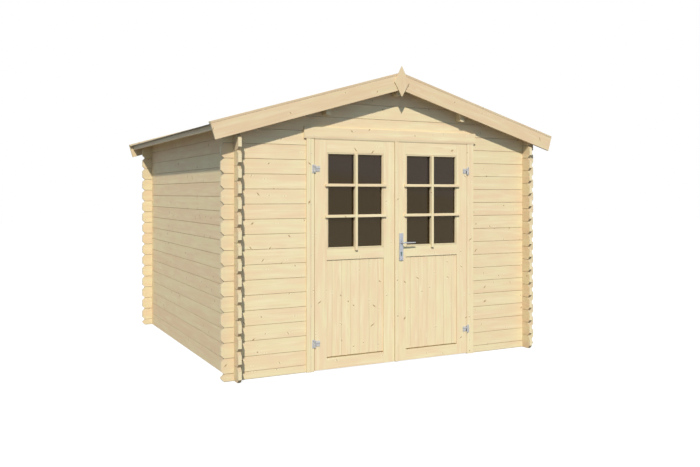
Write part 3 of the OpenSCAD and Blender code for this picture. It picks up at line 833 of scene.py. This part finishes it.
class CABIN_OT_glazing(CabinOperator):
    """Make the glass, the mitred beads and the glazing bars"""
    bl_idname = "cabin.glazing"
    bl_label = "Glazing"

    def mitred_strips(self, low, high, width):
        """Four strips with mitred ends round an opening, between two corners."""
        strips = bmesh.new()
        centre = (low + high) / 2
        half = (high - low) / 2
        for quarter in range(4):
            run, rise = (half.x, half.z) if quarter % 2 == 0 else (half.z, half.x)
            strip = bmesh.new()
            add_block(strip, (-run, -half.y, -rise), (run, half.y, width - rise))
            for side in (-1, 1):
                mitre = Vector((side, 0, 1)).normalized()
                trim(strip, Vector((side * (run - 0.0001), 0, -rise)), mitre)
            append(strips, strip,
                   Matrix.Translation(centre) @ Matrix.Rotation(quarter * math.pi / 2, 4, "Y"))
        return strips

    def bars(self, opening_low, opening_high, face, glass, sizes):
        """A cross of one upright and two level bars over the opening, on one face of the leaf."""
        out = math.copysign(1, face - glass)
        front = face + out * sizes.bar_proud
        seat = glass + out * 0.0003
        middle = (opening_low.x + opening_high.x) / 2
        half = sizes.bar / 2
        bars = bmesh.new()

        def add_bar(x0, x1, z0, z1, y0, y1):
            add_block(bars, (x0, min(y0, y1), z0), (x1, max(y0, y1), z1))

        add_bar(middle - half, middle + half, opening_low.z - sizes.bar_foot,
                opening_high.z + sizes.bar_head, face + out * 0.0003, front)
        add_bar(middle - half, middle + half, opening_low.z + 0.0003, opening_high.z - 0.0003,
                seat, face)
        for share in (1 / 3, 2 / 3):
            z = opening_low.z + (opening_high.z - opening_low.z) * share
            spans = ((opening_low.x, middle - half, -1), (middle + half, opening_high.x, 1))
            for x0, x1, lap in spans:
                inner = (x0, x1 - 0.0003) if lap < 0 else (x0 + 0.0003, x1)
                outer = (inner[0] - sizes.bar_lap, inner[1]) if lap < 0 else (
                    inner[0], inner[1] + sizes.bar_lap)
                add_bar(*outer, z - half, z + half, face + out * 0.0003, front)
                add_bar(*inner, z - half, z + half, seat, face)
        return bars

    def build(self, scene):
        sizes = scene.cabin_timber
        for side, body in BODY_OF_SIDE.items():
            beads = f"{side}_door_beads"
            glass = f"{side}_door_glass"
            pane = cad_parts[glass]
            pane.data.materials.clear()
            pane.data.materials.append(finish("glass"))
            bead_low, bead_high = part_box(beads)
            pane_low, pane_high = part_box(glass)
            leaf_low, leaf_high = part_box(f"{side}_door_rails")
            strips = bmesh.new()
            gap = 0.0003
            for y0, y1 in ((bead_low.y, pane_low.y - gap), (pane_high.y + gap, bead_high.y)):
                frame_low = Vector((bead_low.x, y0, bead_low.z))
                frame_high = Vector((bead_high.x, y1, bead_high.z))
                append(strips, self.mitred_strips(frame_low, frame_high, sizes.bead))
            make_timber(strips, f"{side}_glass_beads", body, "door_timber", [beads], eased=0.001)
            inset = Vector((sizes.bead, 0, sizes.bead))
            opening = bead_low + inset, bead_high - inset
            outer = self.bars(*opening, leaf_low.y, pane_low.y, sizes)
            append(outer, self.bars(*opening, leaf_high.y, pane_high.y, sizes))
            make_timber(outer, f"{side}_glazing_bars", body, "door_timber", eased=0.002)


class CABIN_OT_hinges(CabinOperator):
    """Make the hinges' plates, knuckles, pins and straps"""
    bl_idname = "cabin.hinges"
    bl_label = "Hinges"

    def build(self, scene):
        sizes = scene.cabin_fixings
        make_metal(
            "hinge_plates", "jamb_hinges", "cabin", "hinge_steel", sizes.metal_edge * 0.5)
        for side, body in BODY_OF_SIDE.items():
            node = f"{side}_hinge_straps"
            straps = copy_of(node)
            self.round_ribs(straps, sizes)
            ease(straps, sizes.metal_edge * 0.25, 40, 1)
            make_piece(
                straps, f"{side}_leaf_straps", body, "hinge_steel", [node], smooth=25)

    def round_ribs(self, straps, sizes):
        """Thins the straps to a web with a rounded rib along its upper part."""
        places = sorted({round(abs(vert.co.x), 4) for vert in straps.verts})
        inner, outer = places[:2]
        side = 1 if next(iter(straps.verts)).co.x > 0 else -1
        spans = two_levels(vert.co.z for vert in straps.verts)
        face = max(vert.co.y for vert in straps.verts)
        depth = face - min(vert.co.y for vert in straps.verts if abs(vert.co.x) < outer - 0.0001)
        half = sizes.strap_rib / 2
        trim(straps, Vector((side * outer, 0, 0)), X * -side)
        left, right = sorted((side * inner, side * outer))
        for low, high in spans:
            add_block(straps, (left, face - sizes.strap_web, low), (right, face, high))
            middle = high - half - 0.001
            rib = bmesh.new()
            add_rod(rib, (left + 0.0004, 0, 0), (right, 0, 0), half, segments=36)
            bmesh.ops.scale(rib, vec=(1, depth / half, 1), verts=rib.verts)
            trim(rib, Vector((0, 0, 0)), Y)
            append(straps, rib, Matrix.Translation((0, face, middle)))


class CABIN_OT_handle(CabinOperator):
    """Make the handle plates, the levers and the lock cylinder"""
    bl_idname = "cabin.handle"
    bl_label = "Door handle"

    def build(self, scene):
        sizes = scene.cabin_fixings
        make_metal(
            "handle_plates", "lever_plates", "right_door", "handle_metal", sizes.metal_edge)
        make_metal(
            "lock_cylinder", "lock_barrel", "right_door", "lock_metal", sizes.metal_edge * 0.5)
        levers = copy_of("lever_handle")
        make_piece(levers, "door_levers", "lever", "handle_metal", ["lever_handle"], smooth=40)


class CABIN_OT_fixings(CabinOperator):
    """Add the nails of the boards and the screws of the hinges and the handle plates"""
    bl_idname = "cabin.fixings"
    bl_label = "Nails and screws"

    def build(self, scene):
        sizes = scene.cabin_fixings
        self.nail_boards(sizes)
        self.screw_hinges(sizes)
        self.screw_plates(sizes)

    def nail_boards(self, sizes):
        """Nails through the gable boards into the purlins, through the board over the doors and
        through the jambs."""
        nails = bmesh.new()
        purlin_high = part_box("side_purlins")[1]
        ridge_low, ridge_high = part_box("roof_felt_left")
        slope = (ridge_high.z - ridge_low.z) / (ridge_high.x - ridge_low.x)
        outer = -ridge_low.x - sizes.eave_nail
        purlin = purlin_high.x - sizes.purlin_half
        for end, out in (("front", -Y), ("rear", Y)):
            low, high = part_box(f"{end}_gable_boards")
            y = low.y if out.y < 0 else high.y
            for side in (-1, 1):
                for run in (sizes.ridge_nail, purlin, (purlin_high.x + outer) / 2, outer):
                    for drop in (0.032, 0.085):
                        point = Vector((side * run, y, high.z - run * slope - drop))
                        add_nail(nails, point, out, sizes.nail)
        low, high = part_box("header_board")
        for share in (-0.9, -0.45, 0.0, 0.45, 0.9):
            for z in (low.z + sizes.nail_margin, high.z - sizes.nail_margin):
                add_nail(nails, (high.x * share, low.y, z), -Y, sizes.nail)
        for side in ("left", "right"):
            low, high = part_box(f"door_jamb_{side}")
            for step in range(5):
                z = sizes.jamb_nail + (high.z - 2 * sizes.jamb_nail) * step / 4
                add_nail(nails, ((low.x + high.x) / 2, low.y, z), -Y, sizes.nail)
        make_piece(nails, "board_nails", "cabin", "hinge_steel", smooth=40)

    def screw_hinges(self, sizes):
        """Two screws in each plate on the jambs and two in each strap."""
        plate_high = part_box("hinge_plates")[1]
        screws = bmesh.new()
        for side in (-1, 1):
            for low, high in self.hinge_spans("hinge_plates"):
                for z in (low + sizes.screw_margin, high - sizes.screw_margin):
                    x, y = side * (plate_high.x - sizes.screw_in), plate_high.y - sizes.hinge_plate
                    add_screw(screws, (x, y, z), -Y, sizes.hinge_screw, z * 40)
        make_piece(screws, "plate_screws", "cabin", "hinge_steel", smooth=40)
        for side, body in BODY_OF_SIDE.items():
            node = f"{side}_hinge_straps"
            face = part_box(node)[1].y
            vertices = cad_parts[node].data.vertices
            sign = math.copysign(1, vertices[0].co.x)
            inner, outer = sorted({round(abs(vert.co.x), 4) for vert in vertices})[:2]
            middle = (inner + outer) / 2
            screws = bmesh.new()
            for low, high in self.hinge_spans(node):
                for x in (middle - sizes.strap_screw_step, middle + sizes.strap_screw_step):
                    add_screw(
                        screws, (sign * x, face - sizes.strap_web, low + sizes.strap_screw_up), -Y,
                        sizes.hinge_screw, x * 70)
            make_piece(screws, f"{side}_strap_screws", body, "hinge_steel", smooth=40)

    def hinge_spans(self, node):
        """Lowest and highest point of each level of hinges in a node."""
        return two_levels(vert.co.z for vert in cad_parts[node].data.vertices)

    def screw_plates(self, sizes):
        """A screw at each end of both handle plates."""
        low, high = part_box("handle_plates")
        screws = bmesh.new()
        middle = (low.x + high.x) / 2
        for y, out in ((low.y, -Y), (high.y, Y)):
            for z in (low.z + sizes.handle_margin, high.z - sizes.handle_margin):
                add_screw(screws, (middle, y, z), out, sizes.handle_screw, z * 30)
        make_piece(screws, "plate_bolts", "right_door", "handle_metal", smooth=40)


class CABIN_OT_floor(CabinOperator):
    """Make the floor boards and their bearers"""
    bl_idname = "cabin.floor"
    bl_label = "Floor"

    def build(self, scene):
        sizes = scene.cabin_timber
        low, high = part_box("floor_deck")
        cuts = spread(low.y, high.y, sizes.floor_board)
        boards = sawn(copy_of("floor_deck"), Y, cuts, sizes.joint)
        make_timber(boards, "floor_boards", "cabin", "floor_timber", ["floor_deck"], X)
        dress_timber(["floor_bearers"], "bearers", "cabin", "floor_timber", Y)


class CABIN_OT_stage(CabinOperator):
    """Set the floor, the lights and the camera"""
    bl_idname = "cabin.stage"
    bl_label = "Studio"

    def build(self, scene):
        studio = scene.cabin_studio
        scene.view_settings.view_transform = "Standard"
        self.lay_floor(scene)
        self.hang_lights(scene, studio)
        self.place_camera(scene, studio)

    def seen_rays(self, shader):
        """One for the rays that see the background, directly or in metal and glass."""
        paths = shader.node("ShaderNodeLightPath").socket.node
        seen = Value(shader, paths.outputs["Is Camera Ray"])
        for ray in ("Is Glossy Ray", "Is Transmission Ray"):
            seen = seen.math("MAXIMUM", Value(shader, paths.outputs[ray]))
        return seen

    def lay_floor(self, scene):
        ground = bmesh.new()
        bmesh.ops.create_grid(ground, x_segments=1, y_segments=1, size=30)
        mesh = bpy.data.meshes.new("studio_floor")
        ground.to_mesh(mesh)
        ground.free()
        floor = bpy.data.objects.new("studio_floor", mesh)
        scene.collection.objects.link(floor)
        material, shader, surface = new_material(
            "studio_floor", Base_Color=(0.2, 0.2, 0.2), Roughness=0.9, Specular_IOR_Level=0.0,
            Emission_Color=(0.85, 0.85, 0.85))
        shader.feed(surface["Emission Strength"], self.seen_rays(shader))
        mesh.materials.append(material)

    def hang_lights(self, scene, studio):
        lamp = bpy.data.lights.new("sun", "SUN")
        lamp.energy = studio.sun_strength
        lamp.color = studio.sun_colour
        lamp.angle = studio.sun_size
        sun = bpy.data.objects.new("sun", lamp)
        sun.rotation_euler = Vector((0.565, 1.0, -0.955)).to_track_quat("-Z", "Y").to_euler()
        scene.collection.objects.link(sun)
        world = bpy.data.worlds.new("studio_sky")
        world.use_nodes = True
        shader = Shader(world.node_tree)
        light = shader.mix(self.seen_rays(shader), studio.sky, (1.0, 1.0, 1.0))
        shader.feed(world.node_tree.nodes["Background"].inputs["Color"], light)
        scene.world = world

    def place_camera(self, scene, studio):
        lens = bpy.data.cameras.new("camera")
        lens.lens = studio.lens
        lens.sensor_width = studio.sensor
        lens.shift_y = studio.rise
        camera = bpy.data.objects.new("camera", lens)
        camera.location = (-studio.camera_left, -studio.camera_front, studio.camera_height)
        camera.rotation_euler = (math.pi / 2, 0, -studio.camera_turn)
        scene.collection.objects.link(camera)
        scene.camera = camera


OPERATORS = (
    CABIN_OT_log_walls, CABIN_OT_roof_timbers, CABIN_OT_felt, CABIN_OT_door_frame,
    CABIN_OT_leaves, CABIN_OT_glazing, CABIN_OT_hinges, CABIN_OT_handle,
    CABIN_OT_fixings, CABIN_OT_floor, CABIN_OT_stage)
GROUPS = {
    "cabin_timber": CabinTimberSizes, "cabin_fixings": CabinFixingSizes,
    "cabin_colours": CabinColours, "cabin_studio": CabinStudio}


class CABIN_PT_panel(bpy.types.Panel):
    """The cabin's pieces, sizes and colours"""
    bl_idname = "CABIN_PT_panel"
    bl_label = "Log cabin"
    bl_space_type = "VIEW_3D"
    bl_region_type = "UI"
    bl_category = "Log cabin"

    def draw(self, context):
        for operator in OPERATORS:
            self.layout.operator(operator.bl_idname)
        for group in GROUPS:
            box = self.layout.box()
            settings = getattr(context.scene, group)
            for name in settings.__annotations__:
                box.prop(settings, name)


def register():
    for group, kind in GROUPS.items():
        bpy.utils.register_class(kind)
        setattr(bpy.types.Scene, group, bpy.props.PointerProperty(type=kind))
    for kind in (*OPERATORS, CABIN_PT_panel):
        bpy.utils.register_class(kind)


def unregister():
    for kind in (CABIN_PT_panel, *OPERATORS):
        bpy.utils.unregister_class(kind)
    for group, kind in GROUPS.items():
        delattr(bpy.types.Scene, group)
        bpy.utils.unregister_class(kind)


def main():
    register()
    for operator in OPERATORS:
        group, name = operator.bl_idname.split(".")
        getattr(getattr(bpy.ops, group), name)()


if __name__ == "__main__":
    main()
